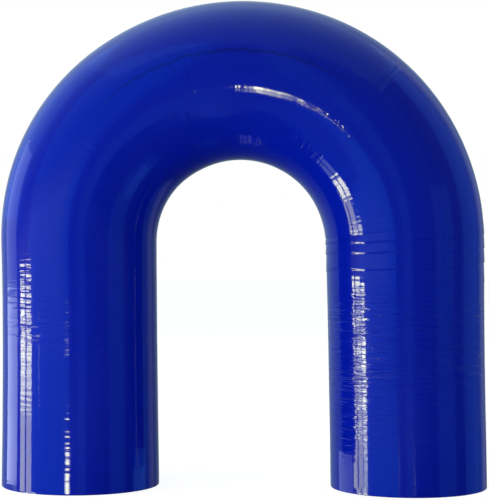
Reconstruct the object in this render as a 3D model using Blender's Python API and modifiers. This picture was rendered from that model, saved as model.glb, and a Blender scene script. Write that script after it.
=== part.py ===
"""Silicone U-bend hose: a 180 degree coupling hose, moulded in one piece.

Metres, +Z up. The hose stands on its two cut ends. The origin is on the floor, midway between
the ends. The legs stand along +Z at -X and +X, and the bend joins them overhead in the XZ plane.
"""

from math import pi, radians

import bmesh
import bpy
from mathutils import Matrix, Vector

# Driving dimensions
BORE_DIAMETER = 0.076
WALL = 0.005
BEND_RADIUS = 0.090  # of the centreline, so the legs stand twice this apart
LEG_LENGTH = 0.134  # the straight run, from the cut end to where the bend starts
CUT_EDGE_ROUND = 0.0004  # the knife leaves the rims of the cut ends a little soft

# Smoothness of the faceted surfaces
SECTION_SIDES = 48
BEND_STEPS = 30

# Worked out from the driving dimensions
OUTER_RADIUS = BORE_DIAMETER / 2 + WALL
BEND_CENTRE = Vector((0.0, 0.0, LEG_LENGTH))
FIRST_END = Vector((-BEND_RADIUS, 0.0, 0.0))
BEND_AXIS = Vector((0.0, 1.0, 0.0))

# Finish: glossy blue silicone
BLUE = (0.011, 0.028, 0.36, 1.0)
ROUGHNESS = 0.22


def clear_scene():
    for obj in list(bpy.data.objects):
        bpy.data.objects.remove(obj, do_unlink=True)


def silicone_material():
    material = bpy.data.materials.new("blue_silicone")
    material.use_nodes = True
    shader = material.node_tree.nodes["Principled BSDF"]
    shader.inputs["Base Color"].default_value = BLUE
    shader.inputs["Roughness"].default_value = ROUGHNESS
    shader.inputs["Metallic"].default_value = 0.0
    return material


def draw_ring_along(bm, ring, run):
    """Extrudes the open ring of edges by the vector run, and returns the new ring of edges."""
    made = bmesh.ops.extrude_edge_only(bm, edges=ring)["geom"]
    points = [item for item in made if isinstance(item, bmesh.types.BMVert)]
    bmesh.ops.translate(bm, verts=points, vec=run)
    return [edge for edge in made if isinstance(edge, bmesh.types.BMEdge) and
            all(point in points for point in edge.verts)]


def turn_ring_over(bm, ring):
    """Spins the ring half a turn about the bend's centre, and returns the last ring of edges."""
    points = list({point for edge in ring for point in edge.verts})
    made = bmesh.ops.spin(bm, geom=points + ring, cent=BEND_CENTRE, axis=BEND_AXIS,
                          angle=pi, steps=BEND_STEPS, use_merge=False)["geom_last"]
    return [item for item in made if isinstance(item, bmesh.types.BMEdge)]


def outer_surface():
    """The hose's outside as one open tube: up the first leg, over the bend, down the second."""
    bm = bmesh.new()
    bmesh.ops.create_circle(bm, cap_ends=False, radius=OUTER_RADIUS, segments=SECTION_SIDES,
                            matrix=Matrix.Translation(FIRST_END))
    first_end = list(bm.edges)
    bend_start = draw_ring_along(bm, first_end, Vector((0.0, 0.0, LEG_LENGTH)))
    bend_end = turn_ring_over(bm, bend_start)
    draw_ring_along(bm, bend_end, Vector((0.0, 0.0, -LEG_LENGTH)))
    bmesh.ops.recalc_face_normals(bm, faces=bm.faces)
    mesh = bpy.data.meshes.new("u_bend_hose")
    bm.to_mesh(mesh)
    bm.free()
    mesh.shade_smooth()
    return mesh


def make_hose(collection):
    hose = bpy.data.objects.new("u_bend_hose", outer_surface())
    collection.objects.link(hose)
    hose.data.materials.append(silicone_material())

    wall = hose.modifiers.new("wall", "SOLIDIFY")
    wall.thickness = WALL
    wall.offset = -1.0
    wall.use_even_offset = True
    wall.use_rim = True

    rims = hose.modifiers.new("cut_edges", "BEVEL")
    rims.width = CUT_EDGE_ROUND
    rims.segments = 1
    rims.limit_method = "ANGLE"
    rims.angle_limit = radians(60)
    return hose


def main():
    clear_scene()
    collection = bpy.data.collections.new("u_bend_hose")
    bpy.context.scene.collection.children.link(collection)
    make_hose(collection)


main()
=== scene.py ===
"""Silicone U-bend hose: its finish, and a plain studio around it.

The hose is one moulded piece, standing on its two cut ends. A long film was wound round it
while it cured, and that left fine rings and ridges in the gloss. The skin here is a close mesh
with those ridges modelled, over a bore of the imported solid's size.

Metres, +Z up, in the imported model's frame. The studio is laid out square to the camera.
"""

import bpy
import numpy as np
from mathutils import Matrix, Vector, noise


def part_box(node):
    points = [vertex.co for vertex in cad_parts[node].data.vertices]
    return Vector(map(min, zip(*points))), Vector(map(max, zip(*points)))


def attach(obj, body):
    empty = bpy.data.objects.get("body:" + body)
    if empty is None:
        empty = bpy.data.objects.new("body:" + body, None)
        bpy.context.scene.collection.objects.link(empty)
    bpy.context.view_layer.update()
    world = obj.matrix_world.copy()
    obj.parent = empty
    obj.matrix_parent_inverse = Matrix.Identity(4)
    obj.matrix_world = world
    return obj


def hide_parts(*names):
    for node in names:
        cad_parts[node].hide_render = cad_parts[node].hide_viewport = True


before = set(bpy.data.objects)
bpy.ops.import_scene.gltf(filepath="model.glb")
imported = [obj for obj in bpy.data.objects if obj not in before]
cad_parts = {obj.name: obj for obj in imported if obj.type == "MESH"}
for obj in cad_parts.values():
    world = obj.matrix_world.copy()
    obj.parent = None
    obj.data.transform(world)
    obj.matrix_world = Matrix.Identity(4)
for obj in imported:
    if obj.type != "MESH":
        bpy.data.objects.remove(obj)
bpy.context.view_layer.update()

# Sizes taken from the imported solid, and its wall, which its box doesn't show
LOW, HIGH = (Vector(corner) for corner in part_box("u_bend_hose"))
OUTER_RADIUS = (HIGH.y - LOW.y) / 2
BEND_RADIUS = (HIGH.x - LOW.x) / 2 - OUTER_RADIUS
LEG_LENGTH = HIGH.z - OUTER_RADIUS - BEND_RADIUS
WALL = 0.005
BEND_RUN = np.pi * BEND_RADIUS
TOTAL_RUN = 2 * LEG_LENGTH + BEND_RUN

# The mesh: rings along the hose, and points round each ring
SIDES = 60
OUTER_STEP = 0.00042
BORE_STEP = 0.003
RIM_ROUND = 0.0005
RIM_STEPS = 3
FACE_STEPS = 5

# How far the moulded form strays from a plain tube: knots of (share of the run, change of radius)
SWELL = (
    (0.00, 0.0005), (0.08, 0.0000), (0.16, -0.0003), (0.24, -0.0001), (0.30, 0.0004), (0.42, 0.0006),
    (0.50, 0.0007), (0.58, 0.0010), (0.66, 0.0009), (0.74, 0.0005), (0.82, -0.0001), (0.91, -0.0003),
    (1.00, -0.0002),
)
# The legs and the bend aren't quite straight or round: knots of (share of the run, shift outwards)
BOW = (
    (0.00, -0.0004), (0.08, -0.0003), (0.16, -0.0001), (0.24, 0.0004), (0.30, 0.0010), (0.36, 0.0009),
    (0.42, 0.0000), (0.50, -0.0005), (0.62, -0.0004), (0.74, -0.0004), (0.82, 0.0002), (0.91, 0.0010),
    (1.00, 0.0018),
)

# The bands of the film. Each leans a little, and its edges press a shallow groove.
BAND_PITCH = 0.0078
BAND_TILT = 0.003  # the most that a band leans by itself, as a slope
BAND_TILT_STEP = 2.4  # radians from one band to the next, so that neighbours lean differently
GROOVE_DEPTH = 0.00001
GROOVE_WIDTH = 0.0005
# How much the bands lean besides, as overlapped tape does: knots of (share of the run, slope)
BAND_LEAN = (
    (0.00, 0.000), (0.700, 0.000), (0.738, -0.010),
    (0.752, 0.046), (0.786, 0.046), (0.796, 0.000), (1.00, 0.000),
)

# Kinds of unevenness, which start at different places in one noise. Their features have this
# spacing along the hose and this width round it. A slope is the usual rise over run.
WRINKLE = {"spacing": 0.0018, "width": 0.015, "start": 300.0, "slope": 0.020}
RING = {"spacing": 0.0024, "width": 0.040, "start": 500.0, "slope": 0.006}
LUMP = {"spacing": 0.030, "width": 0.030, "start": 700.0, "slope": 0.002}
NOISE_SLOPE = 0.68  # the usual slope of the noise itself
# These shift the lines of the wrinkles, in metres, and the edges of the bands, in bands
LINE_STRAY = {"spacing": 0.020, "width": 0.030, "start": 40.0, "shift": 0.0012}
EDGE_STRAY = {"spacing": 0.016, "width": 0.200, "start": 7.0, "shift": 0.6}
# Patches with more and with fewer wrinkles: the usual strength, how it varies, and the least
PATCH = {"spacing": 0.016, "width": 0.120, "start": 90.0, "usual": 0.60, "swing": 1.2, "least": 0.10}
# How much wrinkling there is along the hose: knots of (share of the run, strength)
CREASED = (
    (0.00, 0.35), (0.08, 0.40), (0.12, 1.00), (0.18, 1.00), (0.205, 0.50), (0.23, 0.45), (0.30, 0.55),
    (0.42, 0.60), (0.47, 0.35), (0.51, 0.50), (0.56, 0.60), (0.60, 0.65), (0.64, 0.35), (0.70, 0.45),
    (0.745, 0.25), (0.775, 0.30), (0.80, 1.00), (0.945, 0.85), (0.965, 0.40), (1.00, 0.25),
)
FADE_AT_ENDS = 0.003  # all these marks die out over this length before a cut end

# Marks finer than the mesh: features per metre round the hose and along it, and their height
CRINKLE = {"around": 60.0, "along": 450.0, "height": 0.00026}
CREASE = {"around": 45.0, "along": 480.0, "height": 0.00005}
NOISE_MIDDLE = 0.5  # creases run where their noise has this level
CREASE_REACH = 0.08  # how far from that level a crease still goes down

# A fine line of painted shade along the bend, standing in for the shade of a fold in the film, at this
# angle outwards from the front
FOLD_ANGLE = np.radians(20.0)
FOLD_WIDTH = 0.0016
# The blue on the fold line is darkened to this share: painted shade
PAINTED_FOLD_SHADE = 0.62
FOLD_STRAY = 0.006
FOLD_STRAY_ALONG = 150.0  # features per metre of its straying
FOLD_STRAY_DETAIL = 2.0
# How plain that painted shade line is along the hose: knots of (share of the run, strength)
PAINTED_FOLD_SHADE_ALONG = (
    (0.00, 0.0), (0.36, 0.0), (0.40, 0.8), (0.45, 1.0), (0.50, 1.0), (0.56, 0.9), (0.62, 0.0),
    (1.00, 0.0),
)

# Colours, linear
BLUE = (0.0002, 0.0095, 0.36, 1.0)
ROOM = (0.68, 0.95, 1.15, 1.0)
WHITE = (1.0, 1.0, 1.0, 1.0)
WARM = (1.0, 1.02, 0.60, 1.0)
LILAC = (0.67, 0.77, 1.0, 1.0)
PALE_BLUE = (0.60, 0.82, 1.0, 1.0)
CLEAR_BLUE = (0.30, 0.55, 1.0, 1.0)
SKY_BLUE = (0.50, 0.58, 1.0, 1.0)
DEEP_BLUE = (0.05, 0.24, 1.0, 1.0)

# The silicone's finish: glossy skin under a faint soft bloom, and a duller inside
SKIN_ROUGHNESS = 0.055
INSIDE_ROUGHNESS = 0.45
REFRACTION = 1.45
BLOOM = 0.08
BLOOM_ROUGHNESS = 0.28

# The floor: how bright the camera sees it, how dark its shadow is, and what it throws back
FLOOR_REACH = 6.0
FLOOR_GLOW = 0.92
FLOOR_SHADOW = (0.25, 0.21, 0.19, 1.0)
FLOOR_BOUNCE = (0.65, 0.65, 0.65, 1.0)

# The room's own light, which is dim and grows towards this side
ROOM_PALE_SIDE = Vector((-0.35, 0.60, 0.70)).normalized()
ROOM_LEAST = 0.02
ROOM_MOST = 0.8
ROOM_FALL = 4.0

# Places in the studio that several lamps share
MIDDLE = (0.0, 0.0, 0.10)
FRONT_Y = -1.24
WINDOW_X = -0.875
LEFT_BACK = ((-0.350, 0.175), (-0.415, 0.030))
LEFT_FRONT = ((-1.20, -0.36), (-0.326, FRONT_Y))
UNNARROWED = 180.0  # degrees: a lamp that isn't narrowed to a cone

# The view: the right leg stands a little nearer to the camera than the left one
VIEW_TURN = np.radians(3.0)
EYE = (0.0015, -0.892, 0.130)
FOCAL_PIXELS = 1613.0
LONGEST_SIDE_PIXELS = 500.0
SENSOR_WIDTH = 36.0


def new_collection(name):
    collection = bpy.data.collections.new(name)
    bpy.context.scene.collection.children.link(collection)
    return collection


def smooth_knots(share, knots):
    """A smooth curve through knots of (place, value), with the neighbours' slope at each knot."""
    places, values = np.transpose(knots)
    slopes = np.gradient(values, places)
    index = np.clip(np.searchsorted(places, share, side="right") - 1, 0, len(places) - 2)
    length = places[index + 1] - places[index]
    part = (share - places[index]) / length
    back = 1 - part
    ends = values[index] * (1 + 2 * part) * back**2 + values[index + 1] * (1 + 2 * back) * part**2
    return ends + length * part * back * (slopes[index] * back - slopes[index + 1] * part)


def uneven(run, angle, kind):
    """Smooth noise of this kind, mostly within 0.5 of zero."""
    around = np.stack([np.cos(angle), np.sin(angle)], axis=-1) * OUTER_RADIUS / kind["width"]
    places = np.column_stack([around, run / kind["spacing"] + kind["start"]])
    return np.array([noise.noise(Vector(place)) for place in places])


def ridges(run, angle, kind):
    """Heights of one kind of unevenness, scaled so that its slopes have the size that it states."""
    height = kind["slope"] * kind["spacing"] / NOISE_SLOPE
    return height * uneven(run, angle, kind)


def end_rings():
    """Rings over the far cut end: round its outer rim, across its face and round its inner rim."""
    turn = np.linspace(0, np.pi / 2, RIM_STEPS + 1)[1:]
    ahead = RIM_ROUND * (1 - np.sin(turn))
    behind = RIM_ROUND * (1 - np.cos(turn))
    face = np.linspace(RIM_ROUND, WALL - RIM_ROUND, FACE_STEPS + 1)[1:]
    outer_rim = list(zip(TOTAL_RUN - ahead, behind))
    inner_rim = list(zip(TOTAL_RUN - behind, WALL - ahead))
    return outer_rim + [(TOTAL_RUN, depth) for depth in face] + inner_rim


def section_rings():
    """Each ring as (place along the run, depth in from the skin), over skin, end, bore and end."""
    skin = np.linspace(RIM_ROUND, TOTAL_RUN - RIM_ROUND, int(TOTAL_RUN / OUTER_STEP))
    bore = np.linspace(TOTAL_RUN - RIM_ROUND, RIM_ROUND, int(TOTAL_RUN / BORE_STEP))[1:]
    far_end = end_rings()
    rings = [(run, 0.0) for run in skin] + far_end + [(run, WALL) for run in bore]
    rings += [(TOTAL_RUN - run, depth) for run, depth in reversed(far_end[:-1])]
    return np.array(rings)


def centre_line(run):
    """Centre of the section at each place along the run, and the way outwards from the bend."""
    turn = np.clip((run - LEG_LENGTH) / BEND_RADIUS, 0.0, np.pi)
    past_bend = np.maximum(run - LEG_LENGTH - BEND_RUN, 0.0)
    below_bend = np.where(run < LEG_LENGTH, LEG_LENGTH - run, past_bend)
    out = np.stack([-np.cos(turn), np.zeros_like(turn), np.sin(turn)], axis=-1)
    centre = (BEND_RADIUS + smooth_knots(run / TOTAL_RUN, BOW))[:, None] * out
    centre[:, 2] += LEG_LENGTH - below_bend
    return centre, out


def creasing(run, angle):
    """How strongly the skin is creased at each place, from 0 to 1."""
    patches = np.clip(PATCH["usual"] + PATCH["swing"] * uneven(run, angle, PATCH), PATCH["least"], 1.0)
    return patches * smooth_knots(run / TOTAL_RUN, CREASED)


def band_heights(run, strayed, angle):
    """Height of the film's bands, which wind round the hose like a thread."""
    turns = strayed / BAND_PITCH + angle / (2 * np.pi)
    turns = turns + EDGE_STRAY["shift"] * uneven(run, angle, EDGE_STRAY)
    band = np.floor(turns)
    part = turns - band
    middle = (run + (0.5 - part) * BAND_PITCH) / TOTAL_RUN
    places, slopes = np.transpose(BAND_LEAN)
    lean = np.interp(middle, places, slopes) + BAND_TILT * np.sin(band * BAND_TILT_STEP)
    off_edge = np.minimum(part, 1 - part) * BAND_PITCH
    groove = -GROOVE_DEPTH * np.exp(-(off_edge / GROOVE_WIDTH) ** 2)
    return lean * BAND_PITCH * (part - 0.5) + groove


def film_marks(run, angle):
    """Height of all the film's marks on the skin."""
    strayed = run + LINE_STRAY["shift"] * uneven(run, angle, LINE_STRAY)
    wrinkles = creasing(run, angle) * ridges(strayed, angle, WRINKLE)
    rings = ridges(strayed, angle, RING)
    lumps = ridges(run, angle, LUMP)
    return band_heights(run, strayed, angle) + wrinkles + rings + lumps


def mark_heights(run, angle, is_skin):
    """Height of the marks at every point: none inside, and less and less towards the cut ends."""
    height = np.zeros(len(run))
    height[is_skin] = film_marks(run[is_skin], angle[is_skin])
    to_end = np.minimum(run, TOTAL_RUN - run)
    return height * np.clip(to_end / FADE_AT_ENDS, 0.0, 1.0)


def bent_points(run, angle, reach):
    """Points this far from the centre line. Angle 0 is outwards from the bend, a quarter turn +Y."""
    centre, out = centre_line(run)
    across = np.array([0.0, 1.0, 0.0])
    direction = out * np.cos(angle)[:, None] + across * np.sin(angle)[:, None]
    return centre + reach[:, None] * direction


def ring_quads(count):
    """Faces between this many rings, of which the last closes up with the first."""
    row = np.arange(count)[:, None] * SIDES
    next_row = ((np.arange(count) + 1) % count)[:, None] * SIDES
    side = np.arange(SIDES)[None, :]
    next_side = (side + 1) % SIDES
    corners = (row + side, row + next_side, next_row + next_side, next_row + side)
    return np.stack(corners, axis=-1).reshape(-1, 4)


def quad_mesh(name, points, quads):
    mesh = bpy.data.meshes.new(name)
    mesh.vertices.add(len(points))
    mesh.vertices.foreach_set("co", points.ravel())
    mesh.loops.add(quads.size)
    mesh.loops.foreach_set("vertex_index", quads.ravel().astype(np.int32))
    mesh.polygons.add(len(quads))
    mesh.polygons.foreach_set("loop_start", np.arange(0, quads.size, 4, dtype=np.int32))
    mesh.update(calc_edges=True)
    return mesh


def keep_values(mesh, name, values):
    """Keeps one number for each point of the mesh, for the material."""
    mesh.attributes.new(name, "FLOAT", "POINT").data.foreach_set("value", values)


def hose_mesh():
    """The closed surface of skin, cut ends and bore, with what the material asks of each point."""
    rings = section_rings()
    run, depth = (np.repeat(column, SIDES) for column in rings.T)
    angle = np.tile(np.arange(SIDES) * 2 * np.pi / SIDES, len(rings))
    radius = OUTER_RADIUS + smooth_knots(run / TOTAL_RUN, SWELL) - depth
    is_skin = depth == 0.0
    on_skin = is_skin.astype(float)
    at_front = (np.sin(angle) < 0.0).astype(float)

    points = bent_points(run, angle, radius + mark_heights(run, angle, is_skin))
    mesh = quad_mesh("silicone_hose", points, ring_quads(len(rings)))
    unbent = np.column_stack([radius * np.cos(angle), radius * np.sin(angle), run])
    mesh.attributes.new("unbent", "FLOAT_VECTOR", "POINT").data.foreach_set("vector", unbent.ravel())
    keep_values(mesh, "inner_face", 1 - on_skin)
    keep_values(mesh, "creased", creasing(run, angle) * on_skin)
    # How strongly the painted shade line along the fold shows, on the front of the skin only
    keep_values(mesh, "fold_painted_shade", smooth_knots(run / TOTAL_RUN, PAINTED_FOLD_SHADE_ALONG) * on_skin * at_front)
    mesh.validate()
    mesh.shade_smooth()
    return mesh


def feed(tree, socket, value):
    """Links a node's input to another node's output, or sets it to a constant."""
    if isinstance(value, bpy.types.NodeSocket):
        tree.links.new(value, socket)
    else:
        socket.default_value = value


def shader_of(tree, kind, **inputs):
    """Output of a new shader node with these inputs."""
    node = tree.nodes.new(kind)
    for name, value in inputs.items():
        feed(tree, node.inputs[name], value)
    return node.outputs[0]


def math_of(tree, operation, *values):
    node = tree.nodes.new("ShaderNodeMath")
    node.operation = operation
    for socket, value in zip(node.inputs, values):
        feed(tree, socket, value)
    return node.outputs["Value"]


def vector_of(tree, operation, output, first, second):
    node = tree.nodes.new("ShaderNodeVectorMath")
    node.operation = operation
    feed(tree, node.inputs[0], first)
    feed(tree, node.inputs[1], second)
    return node.outputs[output]


def mapped(tree, value, source, target, interpolation="LINEAR"):
    """The value, with the source range mapped onto the target range."""
    node = tree.nodes.new("ShaderNodeMapRange")
    node.interpolation_type = interpolation
    for name, number in zip(("From Min", "From Max", "To Min", "To Max"), (*source, *target)):
        node.inputs[name].default_value = number
    tree.links.new(value, node.inputs["Value"])
    return node.outputs["Result"]


def attribute(tree, name, output="Fac"):
    """What the mesh keeps under this name for each of its points."""
    node = tree.nodes.new("ShaderNodeAttribute")
    node.attribute_name = name
    return node.outputs[output]


def stretched_noise(tree, around, along, detail=1.0):
    """Noise with this many features per metre round the hose and along it."""
    unbent = attribute(tree, "unbent", "Vector")
    scaled = vector_of(tree, "MULTIPLY", "Vector", unbent, (around, around, along))
    texture = tree.nodes.new("ShaderNodeTexNoise")
    texture.inputs["Scale"].default_value = 1.0
    texture.inputs["Detail"].default_value = detail
    tree.links.new(scaled, texture.inputs["Vector"])
    return texture.outputs["Fac"]


def bump(tree, height, distance, normal=None):
    node = tree.nodes.new("ShaderNodeBump")
    node.inputs["Distance"].default_value = distance
    tree.links.new(height, node.inputs["Height"])
    if normal:
        tree.links.new(normal, node.inputs["Normal"])
    return node.outputs["Normal"]


def creased_normal(tree):
    """Crinkles, and narrow creases along the lines where a noise crosses its middle level."""
    strength = attribute(tree, "creased")
    crinkles = stretched_noise(tree, CRINKLE["around"], CRINKLE["along"])
    crinkled = bump(tree, math_of(tree, "MULTIPLY", crinkles, strength), CRINKLE["height"])
    level = stretched_noise(tree, CREASE["around"], CREASE["along"])
    off_middle = math_of(tree, "ABSOLUTE", math_of(tree, "SUBTRACT", level, NOISE_MIDDLE))
    crease = mapped(tree, off_middle, (0.0, CREASE_REACH), (-1.0, 0.0), "SMOOTHSTEP")
    depth = math_of(tree, "MULTIPLY", crease, math_of(tree, "MULTIPLY", strength, strength))
    return bump(tree, depth, CREASE["height"], crinkled)


def blue_with_painted_fold_shade(tree):
    """Blue, and painted shade of a deeper blue along the fold, where the plane through it cuts the skin.
    """
    plane = (np.cos(FOLD_ANGLE), np.sin(FOLD_ANGLE), 0.0)
    off_plane = vector_of(tree, "DOT_PRODUCT", "Value", attribute(tree, "unbent", "Vector"), plane)
    stray = stretched_noise(tree, 0.0, FOLD_STRAY_ALONG, FOLD_STRAY_DETAIL)
    off_fold = math_of(tree, "ABSOLUTE", math_of(tree, "MULTIPLY_ADD", stray, FOLD_STRAY, off_plane))
    line = mapped(tree, off_fold, (0.0, FOLD_WIDTH), (1.0, 0.0), "SMOOTHSTEP")
    colour = tree.nodes.new("ShaderNodeMix")
    colour.data_type = "RGBA"
    colour.inputs["A"].default_value = BLUE
    colour.inputs["B"].default_value = (*(PAINTED_FOLD_SHADE * channel for channel in BLUE[:3]), 1.0)
    shown = math_of(tree, "MULTIPLY", line, attribute(tree, "fold_painted_shade"))
    tree.links.new(shown, colour.inputs["Factor"])
    return colour.outputs["Result"]


def silicone():
    """Glossy blue silicone, crinkled and creased by the film, with a duller bore and cut ends."""
    material = bpy.data.materials.new("blue_silicone")
    material.use_nodes = True
    tree = material.node_tree
    shader = tree.nodes["Principled BSDF"]
    shader.inputs["Base Color"].default_value = BLUE
    shader.inputs["IOR"].default_value = REFRACTION
    shader.inputs["Coat Weight"].default_value = BLOOM
    shader.inputs["Coat Roughness"].default_value = BLOOM_ROUGHNESS
    inside = attribute(tree, "inner_face")
    roughness = mapped(tree, inside, (0.0, 1.0), (SKIN_ROUGHNESS, INSIDE_ROUGHNESS))
    # The base colour carries the painted shade line along the fold
    tree.links.new(blue_with_painted_fold_shade(tree), shader.inputs["Base Color"])
    tree.links.new(roughness, shader.inputs["Roughness"])
    tree.links.new(creased_normal(tree), shader.inputs["Normal"])
    return material


def add_hose(collection):
    hose = bpy.data.objects.new("silicone_hose", hose_mesh())
    collection.objects.link(hose)
    hose.data.materials.append(silicone())
    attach(hose, "root")
    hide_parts("u_bend_hose")


def camera_or_other(tree, other_shader, camera_shader):
    """One shader for the camera's own rays, and another for all the rest."""
    path = tree.nodes.new("ShaderNodeLightPath")
    mix = tree.nodes.new("ShaderNodeMixShader")
    sources = (path.outputs["Is Camera Ray"], other_shader, camera_shader)
    for socket, source in zip(mix.inputs, sources):
        tree.links.new(source, socket)
    return mix.outputs[0]


def floor_material():
    """Near white to the camera, with the hose's shadow, and a pale grey to all other light."""
    material = bpy.data.materials.new("floor")
    material.use_nodes = True
    tree = material.node_tree
    tree.nodes.clear()
    glow = shader_of(tree, "ShaderNodeEmission", Strength=FLOOR_GLOW)
    shadow = shader_of(tree, "ShaderNodeBsdfDiffuse", Color=FLOOR_SHADOW)
    bounce = shader_of(tree, "ShaderNodeBsdfDiffuse", Color=FLOOR_BOUNCE)
    seen = tree.nodes.new("ShaderNodeAddShader")
    tree.links.new(glow, seen.inputs[0])
    tree.links.new(shadow, seen.inputs[1])
    output = tree.nodes.new("ShaderNodeOutputMaterial")
    tree.links.new(camera_or_other(tree, bounce, seen.outputs[0]), output.inputs["Surface"])
    return material


def add_floor(collection):
    """A plain white floor, which the gloss leaves out, so that lamps below it still show there."""
    mesh = bpy.data.meshes.new("floor")
    signs = ((-1, -1), (1, -1), (1, 1), (-1, 1))
    mesh.from_pydata([(x * FLOOR_REACH, y * FLOOR_REACH, 0) for x, y in signs], [], [(0, 1, 2, 3)])
    floor = bpy.data.objects.new("floor", mesh)
    collection.objects.link(floor)
    floor.visible_glossy = False
    floor.data.materials.append(floor_material())


def add_world():
    """White to the camera, and a soft room for the light: pale behind and overhead, dim in front."""
    world = bpy.data.worlds.new("studio")
    bpy.context.scene.world = world
    world.use_nodes = True
    tree = world.node_tree
    tree.nodes.clear()
    direction = tree.nodes.new("ShaderNodeTexCoord").outputs["Generated"]
    toward = vector_of(tree, "DOT_PRODUCT", "Value", direction, ROOM_PALE_SIDE)
    level = math_of(tree, "POWER", mapped(tree, toward, (-1.0, 1.0), (0.0, 1.0)), ROOM_FALL)
    strength = math_of(tree, "MULTIPLY_ADD", level, ROOM_MOST, ROOM_LEAST)
    room = shader_of(tree, "ShaderNodeBackground", Color=ROOM, Strength=strength)
    white = shader_of(tree, "ShaderNodeBackground", Color=WHITE)
    output = tree.nodes.new("ShaderNodeOutputWorld")
    tree.links.new(camera_or_other(tree, room, white), output.inputs["Surface"])


def turned(place):
    """A place in the studio, which is laid out square to the camera, in the hose's own frame."""
    return Matrix.Rotation(VIEW_TURN, 3, "Z") @ Vector(place)


def add_lamp(collection, name, place, aim, size, radiance, color=WHITE, gloss=True, diffuse=False,
             spread=UNNARROWED):
    """A rectangular lamp facing aim. gloss and diffuse say which of the two it adds to."""
    light = bpy.data.lights.new(name, "AREA")
    light.shape = "RECTANGLE"
    light.size, light.size_y = size
    light.color = color[:3]
    light.energy = radiance * np.pi * size[0] * size[1]
    if spread < UNNARROWED:
        # A lamp narrowed to a cone keeps its power, so its middle would be brighter by this much
        half = np.radians(spread / 2)
        light.energy *= (np.tan(half) - half) / np.tan(half)
    light.spread = np.radians(spread)
    lamp = bpy.data.objects.new(name, light)
    collection.objects.link(lamp)
    lamp.location = turned(place)
    lamp.rotation_euler = (turned(aim) - turned(place)).to_track_quat("-Z", "Y").to_euler()
    lamp.visible_camera = False
    lamp.visible_glossy = gloss
    lamp.visible_diffuse = diffuse


def add_panel(collection, name, start, end, low, high, radiance, color, spread=UNNARROWED):
    """An upright lamp seen only in the gloss, which faces left of the way from start to end."""
    start, end = Vector(start), Vector(end)
    middle = (start + end) / 2
    height = (low + high) / 2
    facing = Vector((start.y - end.y, end.x - start.x)).normalized()
    place = (middle.x, middle.y, height)
    aim = (middle.x + facing.x, middle.y + facing.y, height)
    size = ((end - start).length, high - low)
    add_lamp(collection, name, place, aim, size, radiance, color, spread=spread)


def add_soft_lamps(collection):
    """The wide lamps that light the blue itself. Of these only the ceiling shows in the gloss."""
    for name, place, aim, size, radiance in (
        ("key", (-0.62, -0.47, 0.18), MIDDLE, (0.80, 0.22), 8.0),
        ("fill", (1.45, -0.30, 0.55), MIDDLE, (1.4, 1.4), 1.3),
        ("low_front", (0.0, -0.27, 0.014), (0.0, 0.0, 0.014), (0.36, 0.02), 2.9),
    ):
        add_lamp(collection, name, place, aim, size, radiance, gloss=False, diffuse=True)
    add_lamp(collection, "ceiling", (0.0, 0.05, 1.90), MIDDLE, (3.0, 2.9), 0.34, CLEAR_BLUE, diffuse=True)


def add_windows(collection):
    """A tall window at the left, and one past the left leg that the right leg's inner side shows."""
    # What each of the tall window's two panes shows: low and high edge, radiance, colour, shift in Y
    view = (
        ("sky", 0.030, 0.080, 20.0, WARM, 0.0),
        ("roof", 0.016, 0.030, 6.0, WARM, 0.0),
        ("wall", -0.012, 0.016, 14.0, WARM, 0.0),
        ("haze", -0.155, -0.012, 5.5, WARM, 0.0),
        ("path", -0.200, -0.155, 6.0, WARM, -0.09),
        ("yard", -0.420, -0.200, 19.0, WARM, -0.11),
        ("sill", -0.620, -0.420, 2.2, PALE_BLUE, -0.11),
    )
    for pane, back, front in (("back", 0.013, -0.120), ("front", -0.156, -0.294)):
        for part, low, high, radiance, color, shift in view:
            start = (WINDOW_X, back + shift)
            end = (WINDOW_X, front + shift)
            add_panel(collection, f"window_{pane}_{part}", start, end, low, high, radiance, color)
    for part, low, high, radiance in (("sky", 0.030, 0.092, 36.0), ("yard", -0.120, 0.030, 17.0)):
        add_panel(collection, f"side_window_{part}", (-0.277, -0.139), (-0.262, -0.179), low, high,
                  radiance, WARM, spread=26.0)


def add_low_lamps(collection):
    """Bright things low down in front, each of which one place on the hose catches."""
    foot = (-0.12, -0.04, 0.01)
    crown = (0.018, -0.044, 0.216)
    shoulder = (0.051, -0.042, 0.193)
    right_toe = (0.091, -0.048, 0.005)
    for name, across, height, aim, size, radiance, spread in (
        ("foot_line", -0.41, -0.158, foot, (0.22, 0.090), 36.0, 9.0),
        ("crown_line", -0.204, -0.092, crown, (0.036, 0.070), 66.0, 6.0),
        ("crown_patch", -0.225, -0.192, crown, (0.040, 0.125), 32.0, 6.0),
        ("crown_tail", -0.315, -0.115, shoulder, (0.050, 0.045), 9.0, 6.0),
        ("right_mark", 0.174, -0.165, right_toe, (0.010, 0.012), 36.0, 8.0),
    ):
        add_lamp(collection, name, (across, FRONT_Y, height), aim, size, radiance, WARM, spread=spread)


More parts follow.
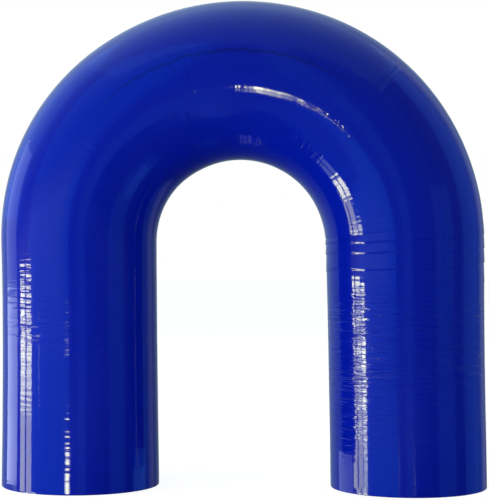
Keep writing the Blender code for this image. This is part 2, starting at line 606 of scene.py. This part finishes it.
def add_room_panels(collection):
    """The floor between the feet, and dim panels all round, as gloss shows them in a room."""
    for name, start, end, low, high, radiance, color in (
        ("right_foot", (-0.030, 0.045), (-0.030, -0.025), -0.100, 0.008, 1.6, SKY_BLUE),
        ("left_foot", (0.030, -0.025), (0.030, 0.020), -0.100, 0.012, 0.7, DEEP_BLUE),
        ("left_back_low", *LEFT_BACK, -0.035, 0.010, 3.9, LILAC),
        ("left_back_middle", *LEFT_BACK, 0.010, 0.094, 3.5, LILAC),
        ("left_back_top", *LEFT_BACK, 0.094, 0.300, 1.2, SKY_BLUE),
        ("left_sky", (-0.700, 0.750), (-0.950, 0.060), 0.200, 1.300, 0.8, DEEP_BLUE),
        ("left_front_low", *LEFT_FRONT, -1.000, -0.240, 0.6, DEEP_BLUE),
        ("left_front_middle", *LEFT_FRONT, -0.240, 0.260, 1.6, DEEP_BLUE),
        ("left_front_high", *LEFT_FRONT, 0.260, 1.750, 0.95, DEEP_BLUE),
        ("front", (-0.06, -1.20), (0.19, -1.20), -1.600, 1.75, 0.5, DEEP_BLUE),
        ("haze_left", (-0.326, FRONT_Y), (0.19, FRONT_Y), -1.600, 1.90, 0.10, PALE_BLUE),
        ("haze_right", (0.19, FRONT_Y), (1.50, FRONT_Y), -0.040, 1.90, 0.08, PALE_BLUE),
        ("right_front", (0.583, -0.616), (0.583, -0.223), -0.60, 0.30, 0.6, DEEP_BLUE),
        ("right_low", (0.583, -0.450), (0.583, -0.223), -0.420, -0.130, 3.0, DEEP_BLUE),
        ("right_back", (0.985, -0.08), (0.93, 0.42), -0.60, 1.30, 0.80, DEEP_BLUE),
        ("right_turn", (0.93, 0.42), (0.82, 0.60), -0.60, 1.30, 0.35, DEEP_BLUE),
        ("right_far", (0.82, 0.60), (0.70, 0.90), -0.60, 1.30, 0.30, SKY_BLUE),
    ):
        add_panel(collection, name, start, end, low, high, radiance, color)


def add_camera():
    camera = bpy.data.cameras.new("camera")
    camera.sensor_width = SENSOR_WIDTH
    camera.lens = FOCAL_PIXELS / LONGEST_SIDE_PIXELS * SENSOR_WIDTH
    eye = bpy.data.objects.new("camera", camera)
    bpy.context.scene.collection.objects.link(eye)
    eye.location = turned(EYE)
    eye.rotation_euler = (np.pi / 2, 0.0, VIEW_TURN)
    bpy.context.scene.camera = eye


def main():
    hose_collection = new_collection("hose_looks")
    studio = new_collection("studio")
    add_hose(hose_collection)
    add_floor(studio)
    add_world()
    add_soft_lamps(studio)
    add_windows(studio)
    add_low_lamps(studio)
    add_room_panels(studio)
    add_camera()
    bpy.context.scene.view_settings.view_transform = "Standard"


main()
